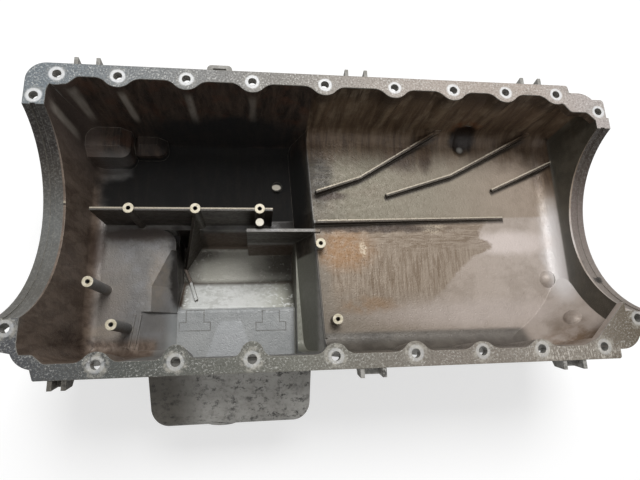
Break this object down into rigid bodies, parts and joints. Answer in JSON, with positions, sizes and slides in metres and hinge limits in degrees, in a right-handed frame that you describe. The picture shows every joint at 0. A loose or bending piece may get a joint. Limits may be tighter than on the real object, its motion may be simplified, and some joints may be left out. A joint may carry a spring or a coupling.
{
  "type": "engine_oil_pan",
  "caption": "Cast aluminium engine oil pan with a shallow tray, a deep sump with a side kick-out, baffles, standoffs and a scalloped bolted gasket flange",
  "frame": {"origin": "on the gasket face, midway between the middle pair of rail bolts", "axes": "+X along the pan towards its shallow end, +Y across it, +Z out of the gasket face towards the engine block"},
  "size_m": [0.651, 0.3873, 0.235],
  "materials": {
    "cast_aluminium": "as-cast with machined faces, worn and oil stained"
  },
  "bodies": {
    "root": {"oil_pan": "cast_aluminium"}
  },
  "joints": []
}
